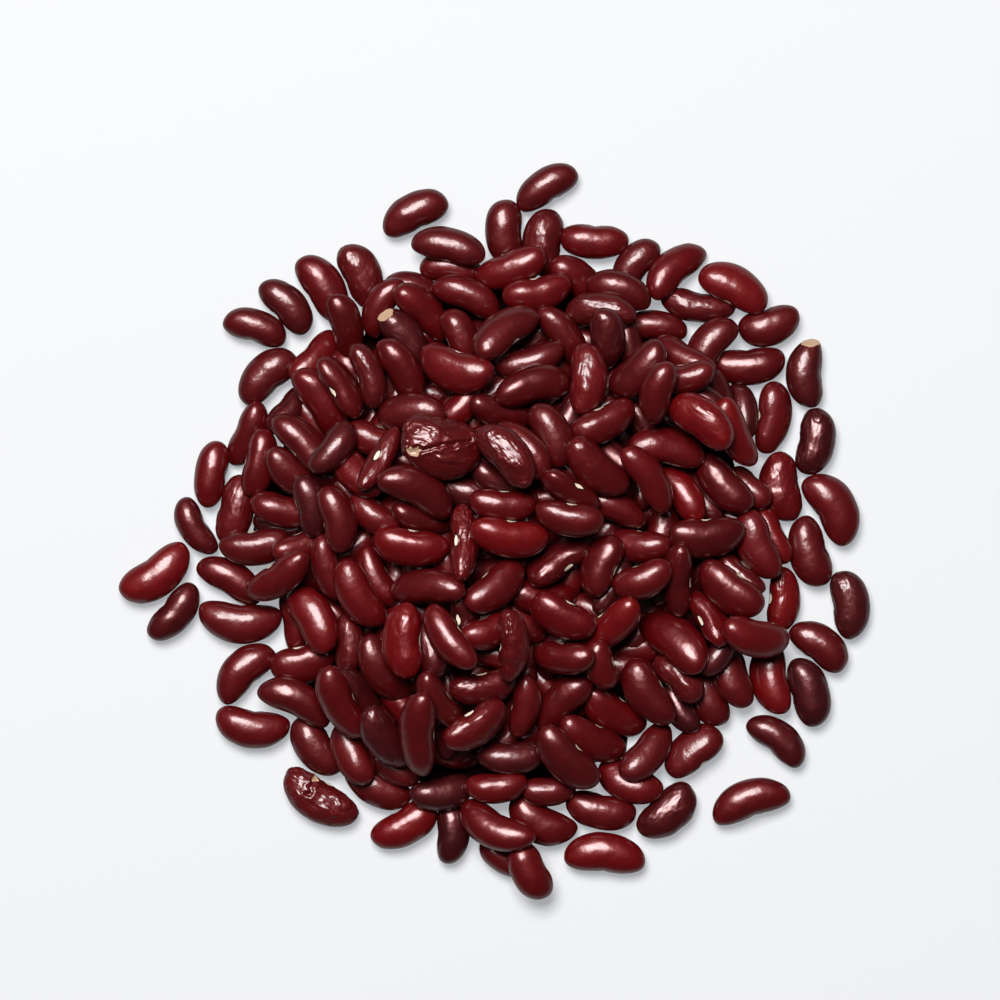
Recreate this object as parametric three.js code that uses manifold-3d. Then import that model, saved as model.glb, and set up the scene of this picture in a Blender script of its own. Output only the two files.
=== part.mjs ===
// A loose heap of dried kidney beans on a level surface, built bean by bean.
// Millimetres, +Z up; the origin is on the surface, at the middle of the spread.
//   bean_heap        the beans that lie on one another, fused to a low core
//   loose_bean_NN    the beans that lie apart on the surface, one solid each
// Each bean is laid on what is already there: it comes down at its own place and
// heading until it touches, and tips to where its middle lies lowest.

import * as THREE from 'three';
import { mergeVertices } from 'three/addons/utils/BufferGeometryUtils.js';
import Module from 'manifold-3d';

// the kidney shape
const nominalLength = 17;
const nominalBend = 1.1;        // how far the middle line bows, at the nominal length
const notchDepth = 0.6;         // the dip at the scar, on the hollow side
const notchReach = 0.35;        // as a share of the half length
const endPower = 2.4;           // higher is blunter at the ends
const fullnessPower = 1 / 2.2;
const thicknessAtZero = 4.3;    // thickness = 4.3 + 0.26 of the width
const thicknessPerWidth = 0.26;

// the faceted solids
const facetsAround = 6;
const facetsAroundDeep = 5;     // in the courses that are mostly covered
const deepCourses = 5;
const facetsAlong = 4;
const facetOutset = 1.07;       // makes up what the flats take off the round section
const fuseOutset = 0.38;        // beans that touch in the heap run into each other by this
const flatBelow = 0.4;          // what comes this close to the surface lies on it
const gap = 0.48;               // clear space between the heap and a loose bean

// how beans come to rest
const cell = 0.7;               // grid of the surface that has been laid so far
const fieldReach = 96;
const steepest = 0.5;           // along a bean, as a slope
const steepestSide = 0.3;
const tiltPrice = 4;            // how much lower a tilt has to bring the middle
const settleIn = 0.7;           // beans nestle into the ones below by this

// the buried beans that carry the ones on show
const buriedSeed = 20417;
const buriedTries = 500;
const buriedRadius = 55;
const domeHeight = 18;
const domeRadius = 60;

// Rows are x, y, heading, length and width, then bend, roll and broken end where
// they differ from 1.1, 0 and none. The hollow side is to the left of the heading.
const looseBeans = [
  [-55.4, 47.1, 163, 15.3, 7.8], [-48.1, 52.2, 133, 15.6, 8.2], [-39.8, 56.6, 122, 17, 9.3],
  [-18.6, 73.65, 207, 16.4, 8.6], [12.1, 79.7, 212, 15.9, 8, 1], [23.3, 67.1, 357, 16, 8.2, 0.5],
  [64.1, 47.5, 17, 14.8, 8.8], [58.9, 38.3, 3, 17.6, 8.6], [72.5, 36.5, 268, 16, 8.6, 1.6, 0, -0.93],
  [74.6, 20.5, 80, 15.6, 8.8], [66.6, 10.1, 279, 16.2, 9.5, 1.2], [78.7, 5.2, 120, 18.2, 10, 1.9],
  [73.2, -5.1, 285, 17, 9.3, 0.9], [82.5, -17.2, 98, 15.9, 8.8, 1], [75.7, -26.7, 142, 15.5, 8.7, 1.3],
  [73.1, -37.5, 106, 16.5, 9.1, 0.8], [65.8, -48.5, 142, 16, 7.8, 1.6], [59.4, -62.8, 198, 18.8, 8.9, 1.7],
  [46.1, -51.2, 220, 15.5, 9.2, 0.8, 25], [40.2, -65.5, 42, 16.2, 9.4], [25.8, -75.2, 175, 19, 9.4, 1.3],
  [24.7, -65, 348, 16.7, 8.5], [-40.6, -62.5, 328, 19.5, 9.5, 1.2], [-41.3, -50.3, 307, 16, 9],
  [-56.1, -45.6, 352, 17.6, 9.1, 1.6], [-58.2, -32.9, 226, 17.2, 8.8, 1.9],
  [-59, -21, 355, 19.4, 9.4, 1.9], [-78.3, -10.2, 37, 19, 9.6, 1.3], [-74.1, -19.2, 50, 16, 7.9, 1],
  [-69.4, 0.6, 301, 14.8, 6.9, 1.5], [-65.6, 13.1, 260, 15.8, 7.6, 0.4], [-52.9, 35.8, 223, 16.4, 9.2],
  [67.1, -16.1, 85, 15.2, 7.5, 1.1, 25], [64.7, 26.1, 82, 17, 8.2, 1.1, 20],
];

// laid in this order: on the surface first, the crown last
const courses = [[
  [-30.8, 59.2, 112, 15.5, 9], [-9.8, 60.7, 172, 15, 7.4, 0.9], [2.5, 69.2, 272, 15.3, 8.9, 0.6],
  [11.6, 67.3, 262, 15.6, 9.2, 0.9], [32.8, 61.8, 230, 14.2, 8], [47.2, 52.1, 350, 17.5, 7.2],
  [58.2, 27.4, 97, 14, 6.8], [-57, 22.3, 67, 16, 7.6, 0.9], [-60.5, 4.7, 77, 16.5, 8.4, 0.6],
  [-61.4, -11.8, 150, 16.8, 8, 1], [-46.3, -21, 98, 15, 6.8], [64.8, -34.2, 279, 17.6, 9.2, 1.6],
  [65, -1.3, 297, 14.5, 6.8, 0.6], [49.7, -39.6, 290, 13.6, 8.4], [43.6, -41.4, 300, 13.2, 7.1],
  [55.4, -34, 290, 15.5, 8.8, 0.8], [2.4, -76.2, 325, 13.5, 6.7, 0.9], [10.8, -67.5, 330, 17.2, 9.3, 2.2],
  [-9.8, -70.2, 88, 14.8, 7.8], [-20.6, -68.5, 30, 16.8, 8.8], [-27, -59.9, 332, 17, 8.4],
  [12.7, -60.3, 5, 13.2, 7.1, 0.8], [31.2, -58.8, 335, 16, 9], [-49.5, 1.2, 355, 14, 7],
], [
  [-54.3, 15.6, 78, 16, 7.8, 0.8], [-41.9, 39.9, 48, 15, 7.9], [-47.5, 28.3, 50, 14, 7.4],
  [-18.5, 56, 160, 15, 7.6], [-10.4, 65.8, 168, 17.4, 8.2], [19.2, 58.3, 140, 14.2, 8.2, 0.9],
  [41.9, 60.5, 222, 16.6, 8.4, 1.7], [38, 47.2, 176, 15, 7.2], [55.5, 55.9, 152, 17.3, 9.5],
  [50.1, 42.9, 232, 15.5, 8.4, 1.5], [31.5, 43, 290, 13, 7.4], [51, 31, 110, 14.5, 7.9],
  [48.5, 29.5, 150, 14, 7.4], [58.9, 9.5, 320, 12, 8, 1], [53.8, 4, 340, 13.5, 7.1],
  [-55.5, -3.8, 6, 16.3, 8.4], [-44.5, -3.5, 20, 14, 7.1], [-44.3, -30.8, 15, 15.5, 9.4],
  [-45.8, -39.5, 153, 18.2, 8.4, 1.8], [-24, -54.5, 320, 15, 7.4], [-12, -60.7, 10, 15, 8],
  [52, -28, 60, 13, 6.5], [8.4, -79.1, 298, 14.3, 8.7, 0.9],
], [
  [-49.1, 4.8, 347, 15, 7.8, 0.9], [-47, 13.6, 320, 14, 8.4], [-34.4, 47.2, 105, 16, 7.8],
  [-26.6, 51.9, 242, 15.2, 7.1, 2], [-20.5, 44.5, 128, 16, 8, 1, 0, 0.95], [4, 60.6, 20, 17.5, 8.4, 0.7],
  [9.8, 55.3, 12, 16.5, 8.6], [29, 55.5, 163, 15.8, 8.4], [24.7, 50.7, 177, 16.5, 7.8],
  [43.8, 39.8, 332, 15, 7.6], [44, 35.2, 10, 14, 7.4], [55.5, 22.4, 296, 17.3, 7.8],
  [47.8, 8, 300, 14.5, 7.4], [60.9, -3.5, 294, 17, 9.2], [56.8, -9.7, 318, 14, 6.3],
  [49.9, -20.5, 120, 14, 6.7, 1.1, 50], [59.8, -24.5, 348, 15.6, 9], [35.5, -51.6, 50, 16, 8.4],
  [-49.5, -10.7, 35, 16.8, 7.9], [-33.5, -26.3, 90, 14.5, 6.8], [-31.5, -37.5, 125, 15, 6.8, 1.1, 50],
  [-27.8, 3.6, 325, 13.5, 7.4], [39, 1, 80, 13, 7.5], [-14.5, -27.5, 105, 14, 6.8],
  [-6.5, -19.5, 100, 13.5, 6.8, 1.1, 60], [1, -29, 160, 14, 7.4], [-32.8, -51.5, 290, 16, 8.6],
  [-9.4, -50.9, 355, 14.8, 7.8], [0.5, -59.4, 5, 14.5, 7.4], [0.6, -68.4, 335, 18.5, 8.8, 2],
], [
  [-44.4, 19.8, 134, 18, 8.2], [-41.3, -20.6, 119, 16.8, 9.4], [-42.3, 5.7, 102, 15, 7.8],
  [-39.9, 29.8, 123, 18.5, 8.7], [-35.3, 33.2, 122, 16.5, 7.4, 1.1, 40], [-31.7, 12.5, 315, 13.5, 8.4],
  [-27.3, 20.8, 340, 14, 7.6], [-21.3, 37, 120, 17, 8.2], [-16.3, 50.8, 135, 16.5, 7.7, 1.1, 15],
  [-6.8, 54.2, 158, 17, 7.9, 1.4], [-7.9, 45, 112, 13.2, 7.6], [16, 46, 128, 15.5, 7.4],
  [25.9, 44.2, 88, 14, 8.4], [-7, 29.3, 50, 14, 7.4], [17.5, 26.5, 60, 14, 7.4],
  [27.5, 17.3, 320, 14, 7.4], [-17.2, 2.7, 345, 14, 6.8], [-7.5, 9.5, 335, 14, 7.4],
  [0.5, 11.3, 330, 14, 7.4], [53.2, 10.4, 313, 16.5, 8.8, 1.1, 15], [39.8, 18.6, 170, 17.8, 8.8],
  [-38.6, -8.3, 288, 16, 7.1], [-27.3, -10.6, 297, 15.8, 7.1], [-15, -13.2, 180, 16.8, 8.2],
  [-35.3, -39.8, 297, 18.5, 8.2], [-12.5, -38.8, 305, 15, 6.8], [-25.7, -47.8, 305, 16, 8.4],
  [-1.5, -23.2, 20, 12.6, 7.6], [27.4, -13.1, 60, 14.5, 6.3, 1.1, 50], [43, -34, 135, 14, 8],
  [27.6, -42.3, 327, 16.5, 8.8, 1.1, 20], [15.8, -39.8, 228, 17, 8.4], [7, -40.8, 80, 15, 6.9],
  [3.5, -52.8, 0, 16, 7.8], [23.1, -48.5, 333, 16.5, 8.7], [54.5, -13.7, 322, 17.5, 9.5, 1.1, 20],
], [
  [-36.1, 2.8, 105, 16, 8.2, 1.1, 15], [-29, 36, 108, 15.5, 6.6, 1.1, 15], [-18.9, 27.1, 184, 16, 8.7],
  [-8.8, 37.2, 342, 17.5, 9.4, 1.9, 25], [2.2, 45.5, 217, 17.2, 8.8, 1.5, 20], [8.6, 39.7, 15, 17, 7.4],
  [33.9, 37, 45, 16.3, 8.8], [47.9, 25.2, 143, 17, 9.2], [43.4, 8.3, 128, 15.5, 7.9],
  [35.5, 12, 124, 18, 7.6], [1.8, 27.1, 345, 15.5, 7.1, 1.1, 20], [13.3, 22, 112, 15.6, 8.8],
  [48.9, -1, 5, 18, 9.8], [42.6, -11, 270, 16.5, 7.4, 1.1, 20], [34.3, -3.5, 355, 14, 7.8],
  [34.3, -11.3, 22, 14.5, 8.2], [27.8, 5.1, 158, 15.5, 7.1], [-31.2, -14.8, 301, 17.5, 8.8],
  [-26, -32, 305, 17.5, 9.4], [-18.8, -3.2, 352, 17.8, 9.1], [-10.3, -24.8, 306, 17.5, 7.9],
  [-2.5, -36.2, 10, 15.5, 7.8, 1.1, 15], [-4.5, -44.6, 33, 16.5, 8.6, 1.1, 15],
  [-17.3, -46.8, 270, 19.5, 8.7, 1.1, 10], [15.2, -6.4, 215, 18, 7.8, 1.1, 45],
  [24.8, -7.9, 247, 15, 8.2, 1.1, 35], [27.5, -21.3, 40, 15.9, 8.2], [42.3, -25.5, 140, 18.5, 10.4],
  [35.6, -37.8, 304, 17.5, 9.2, 1.1, 10], [24.5, -31, 290, 12, 7.6, 1.1, 15], [16, -29.2, 357, 14.2, 7.6],
  [4.3, -26.3, 90, 16.3, 7.1], [16.7, -52.7, 314, 18.5, 9.4], [-37, 18.8, 51, 14.5, 7.6],
], [
  [-26.3, 16.3, 60, 16.5, 5.4, 1.1, 60], [-17.6, 9.3, 152, 18.5, 9, 2],
  [-7.2, -3.4, 89, 17.6, 6.4, 1.1, 40], [2, 5.9, 355, 15.5, 7.6], [9, 33.2, 194, 17.8, 8.8],
  [21.5, 34.9, 87, 16.5, 8.6], [37.7, 31.8, 255, 14.5, 7.6], [25.2, 25.4, 27, 15.8, 8.3],
  [7.5, 18.8, 133, 16.5, 7.8], [23.6, 14.3, 320, 17, 9], [17.2, 9.5, 327, 14.6, 6.9, 1.1, 50],
  [17.5, 3.4, 350, 16, 8], [0.3, -13, 40, 16, 8.8], [15.8, -19.9, 333, 16.5, 9, 1.1, 20],
  [-20.3, -25.3, 270, 17.5, 9.4],
], [
  [-12.4, 19, 342, 19.2, 13.6, 1.2, 15], [3, 17.5, 132, 17.3, 9.2], [3.6, -1, 352, 18.2, 9.2],
]];

const rad = Math.PI / 180;

function seeded(seed) {
  let state = seed;
  return () => {
    state = (state * 48271) % 2147483647;
    return state / 2147483647;
  };
}

// ---- one bean ----

const fullness = (u) => Math.max(0, 1 - Math.abs(u) ** endPower) ** fullnessPower;

function makeBean([x, y, heading, length, width, bend = nominalBend, roll = 0, chip = 0]) {
  const thick = (thicknessAtZero + thicknessPerWidth * width) / 2;
  const cr = Math.cos(roll * rad);
  const sr = Math.sin(roll * rad);
  // the width is the one seen from above, so a rolled bean is wider than that
  const half = Math.sqrt(Math.max((width / 2) ** 2 - (thick * sr) ** 2, (0.9 * thick * cr) ** 2)) / cr;
  return {
    x, y, heading: heading * rad, length, half, thick, chip, cr, sr,
    bend: bend * length / nominalLength,
    lift: thick, pitch: 0, lean: 0,
  };
}

// calls visit for every grid point under the bean, with the bean's lower and upper face
function footprint(b, x, y, visit) {
  const cos = Math.cos(b.heading);
  const sin = Math.sin(b.heading);
  const reach = b.length / 2 + 1.5;
  for (let i = Math.ceil((x - reach) / cell); i * cell <= x + reach; i++) {
    for (let j = Math.ceil((y - reach) / cell); j * cell <= y + reach; j++) {
      const dx = i * cell - x;
      const dy = j * cell - y;
      const p = dx * cos + dy * sin;
      const q = dy * cos - dx * sin;
      const u = p / (b.length / 2);
      if (Math.abs(u) > 0.98) continue;
      const w = b.half * fullness(u);
      const t = b.thick * fullness(u);
      const arc = b.bend * (u * u - 0.3);
      const side = q - arc * b.cr;
      const span = (w * b.cr) ** 2 + (t * b.sr) ** 2;
      if (side * side > 0.95 * span) continue;
      const mid = arc * b.sr + side * (w * w - t * t) * b.sr * b.cr / span;
      const rise = w * t * Math.sqrt(span - side * side) / span;
      visit(i, j, p, q, mid - rise, mid + rise);
    }
  }
}

// ---- laying ----

const fieldSize = 2 * Math.round(fieldReach / cell) + 1;
const field = new Float64Array(fieldSize * fieldSize);
const at = (i, j) => (j + (fieldSize - 1) / 2) * fieldSize + i + (fieldSize - 1) / 2;

// the lowest pose over the field at x, y: the height of the middle and the two slopes
function restingPose(b, x, y) {
  const points = [];
  footprint(b, x, y, (i, j, p, q, low) => points.push([field[at(i, j)], p, q, low]));
  let best = { cost: Infinity };
  let [pitchAt, leanAt] = [0, 0];
  let [pitchStep, leanStep] = [steepest / 3, steepestSide / 3];
  for (let round = 0; round < 4; round++) {
    for (let m = -3; m <= 3; m++) {
      for (let n = -3; n <= 3; n++) {
        const pitch = Math.max(-steepest, Math.min(steepest, pitchAt + m * pitchStep));
        const lean = Math.max(-steepestSide, Math.min(steepestSide, leanAt + n * leanStep));
        const stretch = Math.hypot(1, pitch, lean);
        let lift = -Infinity;
        for (const [h, p, q, low] of points) {
          lift = Math.max(lift, h - pitch * p - lean * q - low * stretch);
        }
        const cost = lift + tiltPrice * (pitch * pitch + lean * lean);
        if (cost < best.cost - 1e-7) best = { cost, lift, pitch, lean };
      }
    }
    [pitchAt, leanAt] = [best.pitch, best.lean];
    pitchStep /= 3;
    leanStep /= 3;
  }
  return best;
}

// tries the place given and places around it, where moving away costs its share
function lay(b, shuffle, price) {
  let best = { total: Infinity };
  const tries = [[0, 0]];
  for (const r of shuffle) {
    for (let k = 0; k < 6; k++) tries.push([r * Math.cos(k * 60 * rad), r * Math.sin(k * 60 * rad)]);
  }
  for (const [dx, dy] of tries) {
    const pose = restingPose(b, b.x + dx, b.y + dy);
    const total = pose.cost + price * Math.hypot(dx, dy);
    if (total < best.total - 1e-7) best = { total, pose, x: b.x + dx, y: b.y + dy };
  }
  Object.assign(b, { x: best.x, y: best.y }, best.pose);
  b.lift = Math.max(b.thick, b.lift - settleIn);
}

function coverField(b) {
  const stretch = Math.hypot(1, b.pitch, b.lean);
  footprint(b, b.x, b.y, (i, j, p, q, low, high) => {
    const top = b.lift + b.pitch * p + b.lean * q + high * stretch;
    if (top > field[at(i, j)]) field[at(i, j)] = top;
  });
}

const loose = looseBeans.map(makeBean);
for (const b of loose) coverField(b);

const laidBeans = courses.map((course, i) => course.map((row) => (
  { ...makeBean(row), around: i < deepCourses ? facetsAroundDeep : facetsAround })));
for (const b of laidBeans[0]) {
  lay(b, [0.5], 1);
  coverField(b);
}

// buried beans fill the dome up to its height, wherever one still comes to lie low enough
const draw = seeded(buriedSeed);
const buried = [];
for (let n = 0; n < buriedTries; n++) {
  const r = buriedRadius * Math.sqrt(draw());
  const a = 360 * draw();
  const b = makeBean([r * Math.cos(a * rad), r * Math.sin(a * rad), 360 * draw(),
    15.5 + 2.5 * draw(), 7.6 + 1.2 * draw()]);
  lay(b, [1.5, 3], 0.3);
  const ceiling = domeHeight * (1 - (Math.hypot(b.x, b.y) / domeRadius) ** 2) - 5;
  if (b.lift > ceiling) continue;
  coverField(b);
  buried.push(b);
}

for (const b of laidBeans.slice(1).flat()) {
  lay(b, [0.5], 1);
  coverField(b);
}
const shown = laidBeans.flat();

// ---- solids ----

const wasm = await Module();
wasm.setup();

// a ball of few facets, pulled to the kidney shape and set at the bean's pose
function beanGeometry(b, outset, around = facetsAround) {
  const geometry = new THREE.SphereGeometry(1, around, facetsAlong);
  if (around === facetsAroundDeep) geometry.rotateY(18 * rad);
  geometry.deleteAttribute('normal');
  geometry.deleteAttribute('uv');
  const stretch = Math.hypot(1, b.pitch);
  const along = new THREE.Vector3(1, 0, b.pitch).normalize();
  const up = new THREE.Vector3(-b.pitch, -b.lean, 1).normalize();
  const across = new THREE.Vector3().crossVectors(up, along);
  const frame = new THREE.Matrix4().makeBasis(along, across, up);
  const pose = new THREE.Matrix4().makeRotationZ(b.heading).multiply(frame);
  const v = new THREE.Vector3();
  const position = geometry.attributes.position;
  for (let i = 0; i < position.count; i++) {
    v.fromBufferAttribute(position, i);
    let u = v.y;
    let round = fullness(u);
    if (b.chip && u * Math.sign(b.chip) > Math.abs(b.chip)) {
      round = fullness(b.chip) * (1 - Math.abs(u)) / (1 - Math.abs(b.chip));
      u = b.chip;
    }
    const ring = Math.hypot(v.x, v.z) || 1;
    const c = v.x / ring;
    const s = -v.z / ring;
    const w = (b.half * facetOutset + outset) * round;
    const t = (b.thick * facetOutset + outset) * round;
    const notch = notchDepth * Math.exp(-((u / notchReach) ** 2)) * Math.max(0, c) ** 3;
    const y = b.bend * (u * u - 0.3) + w * c - notch;
    const z = t * s;
    const half = (b.length / 2 + outset) * stretch;
    v.set(u * half, y * b.cr - z * b.sr, y * b.sr + z * b.cr).applyMatrix4(pose);
    v.z += b.lift;
    position.setXYZ(i, b.x + v.x, b.y + v.y, v.z < flatBelow ? 0 : v.z);
  }
  return geometry;
}

function solidOf(geometry) {
  const merged = mergeVertices(geometry, 1e-4);
  const solid = new wasm.Manifold(new wasm.Mesh({
    numProp: 3,
    vertProperties: Float32Array.from(merged.attributes.position.array),
    triVerts: Uint32Array.from(merged.index.array),
  }));
  return solid;
}

function geometryOf(solid) {
  const mesh = solid.getMesh();
  const geometry = new THREE.BufferGeometry();
  geometry.setAttribute('position', new THREE.BufferAttribute(Float32Array.from(mesh.vertProperties), 3));
  geometry.setIndex(new THREE.BufferAttribute(Uint32Array.from(mesh.triVerts), 1));
  return geometry;
}

// the core: a low mound turned on its axis, drawn down under the beans that show
const coreRings = [0, 12, 24, 34, 43, 51];
const coreSectors = 16;
const coreNeighbourhood = 8.5;
const coreShare = 0.35;
const coreDrop = 0.4;

function coreHeight(x, y) {
  const lifts = shown.filter((b) => Math.hypot(b.x - x, b.y - y) < coreNeighbourhood)
    .map((b) => b.lift).sort((a, b) => a - b);
  return Math.max(2.2, (lifts[Math.floor(lifts.length * coreShare)] ?? 0) - coreDrop);
}

function coreGeometry() {
  const profile = [new THREE.Vector2(0, 0), new THREE.Vector2(coreRings.at(-1), 0)];
  for (const r of [...coreRings].reverse()) profile.push(new THREE.Vector2(r, 1));
  const geometry = new THREE.LatheGeometry(profile, coreSectors);
  geometry.deleteAttribute('normal');
  geometry.deleteAttribute('uv');
  geometry.rotateX(Math.PI / 2);
  const position = geometry.attributes.position;
  for (let i = 0; i < position.count; i++) {
    if (position.getZ(i) > 0.5) position.setZ(i, coreHeight(position.getX(i), position.getY(i)));
  }
  return geometry;
}

let heap = solidOf(coreGeometry());
for (const b of shown) heap = heap.add(solidOf(beanGeometry(b, fuseOutset, b.around)));
for (const b of loose) heap = heap.subtract(solidOf(beanGeometry(b, gap)));
const pieces = heap.decompose().sort((a, b) => b.volume() - a.volume());
heap = pieces[0];

// ---- the object ----

const seedCoat = () => new THREE.MeshStandardMaterial({ color: '#54141a', roughness: 0.32, metalness: 0 });

const group = new THREE.Group();
const heapMesh = new THREE.Mesh(geometryOf(heap), seedCoat());
heapMesh.name = 'bean_heap';
group.add(heapMesh);

loose.forEach((b, i) => {
  const mesh = new THREE.Mesh(geometryOf(solidOf(beanGeometry(b, 0))), seedCoat());
  mesh.name = `loose_bean_${String(i + 1).padStart(2, '0')}`;
  group.add(mesh);
});

export default group;
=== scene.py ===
# A loose heap of dried red kidney beans on a bare white surface.
# Blender units are metres; the laying below works in millimetres.
# +Z is up, and the origin is on the surface at the middle of the spread.
import math

import bpy
import numpy as np
from mathutils import Matrix, Vector


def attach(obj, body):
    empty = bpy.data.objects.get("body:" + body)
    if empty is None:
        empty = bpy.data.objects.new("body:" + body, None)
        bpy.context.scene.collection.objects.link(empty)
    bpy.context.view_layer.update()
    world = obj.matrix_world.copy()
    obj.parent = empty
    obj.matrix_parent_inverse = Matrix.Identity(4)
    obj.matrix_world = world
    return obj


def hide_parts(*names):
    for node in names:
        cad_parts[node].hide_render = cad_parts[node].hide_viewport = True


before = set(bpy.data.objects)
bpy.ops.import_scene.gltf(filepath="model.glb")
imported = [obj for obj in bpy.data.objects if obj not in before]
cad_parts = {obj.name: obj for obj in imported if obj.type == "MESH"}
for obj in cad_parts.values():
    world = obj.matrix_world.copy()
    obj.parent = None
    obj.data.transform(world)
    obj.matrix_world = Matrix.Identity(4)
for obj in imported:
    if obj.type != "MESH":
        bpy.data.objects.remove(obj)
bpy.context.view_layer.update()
scene = bpy.context.scene
mm = 0.001
print("frame loaded:", len(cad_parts), "nodes")


# the sRGB curve, undone
def toLinear(hexColour):
    values = [int(hexColour[i:i + 2], 16) / 255 for i in (1, 3, 5)]
    linear = [v / 12.92 if v <= 0.04045 else ((v + 0.055) / 1.055) ** 2.4 for v in values]
    return (*linear, 1.0)


def addNode(tree, kind, links=(), **settings):
    node = tree.nodes.new(kind)
    for name, value in settings.items():
        setattr(node, name, value)
    for socket, source in dict(links).items():
        if isinstance(source, bpy.types.NodeSocket):
            tree.links.new(source, node.inputs[socket])
        else:
            node.inputs[socket].default_value = source
    return node


# each row is the name of its result, what is done, and with what: earlier results or numbers
def addSteps(tree, kind, value, rows):
    for result, operation, *inputs in rows:
        links = {k: value[v] if isinstance(v, str) else v for k, v in enumerate(inputs)}
        outputs = addNode(tree, kind, links, operation=operation).outputs
        value[result] = next(socket for socket in outputs if socket.enabled)


# Rows are x, y, heading, length and width, then bend, roll and broken end where
# they differ from 1.1, 0 and none; lengths in mm, angles in degrees, and the broken
# end as a share of the half length. The hollow side is to the left of the heading.
# The letters say how it looks: b bright, d dark, then w wrinkled, v shrivelled.

looseRows = [
    (-55.4, 47.1, 163, 15.3, 7.8), (-48.1, 52.2, 133, 15.6, 8.2, "d"), (-39.8, 56.6, 122, 17, 9.3),
    (-18.6, 73.65, 207, 16.4, 8.6), (12.1, 79.7, 212, 15.9, 8, 1), (23.3, 67.1, 357, 16, 8.2, 0.5),
    (64.1, 47.5, 17, 14.8, 8.8), (58.9, 38.3, 3, 17.6, 8.6),
    (72.5, 36.5, 268, 16, 8.6, 1.6, 0, -0.93, "d"), (74.6, 20.5, 80, 15.6, 8.8, "dw"),
    (66.6, 10.1, 279, 16.2, 9.5, 1.2, "w"), (78.7, 5.2, 120, 18.2, 10, 1.9),
    (73.2, -5.1, 285, 17, 9.3, 0.9), (82.5, -17.2, 98, 15.9, 8.8, 1, "dw"),
    (75.7, -26.7, 142, 15.5, 8.7, 1.3), (73.1, -37.5, 106, 16.5, 9.1, 0.8, "d"),
    (65.8, -48.5, 142, 16, 7.8, 1.6, "d"), (59.4, -62.8, 198, 18.8, 8.9, 1.7),
    (46.1, -51.2, 220, 15.5, 9.2, 0.8, 25), (40.2, -65.5, 42, 16.2, 9.4, "dw"),
    (25.8, -75.2, 175, 19, 9.4, 1.3, "b"), (24.7, -65, 348, 16.7, 8.5),
    (-40.6, -62.5, 328, 19.5, 9.5, 1.2, "v"), (-41.3, -50.3, 307, 16, 9),
    (-56.1, -45.6, 352, 17.6, 9.1, 1.6), (-58.2, -32.9, 226, 17.2, 8.8, 1.9),
    (-59, -21, 355, 19.4, 9.4, 1.9), (-78.3, -10.2, 37, 19, 9.6, 1.3, "b"),
    (-74.1, -19.2, 50, 16, 7.9, 1, "d"), (-69.4, 0.6, 301, 14.8, 6.9, 1.5),
    (-65.6, 13.1, 260, 15.8, 7.6, 0.4), (-52.9, 35.8, 223, 16.4, 9.2),
    (67.1, -16.1, 85, 15.2, 7.5, 1.1, 25, "bw"), (64.7, 26.1, 82, 17, 8.2, 1.1, 20),
]

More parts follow.
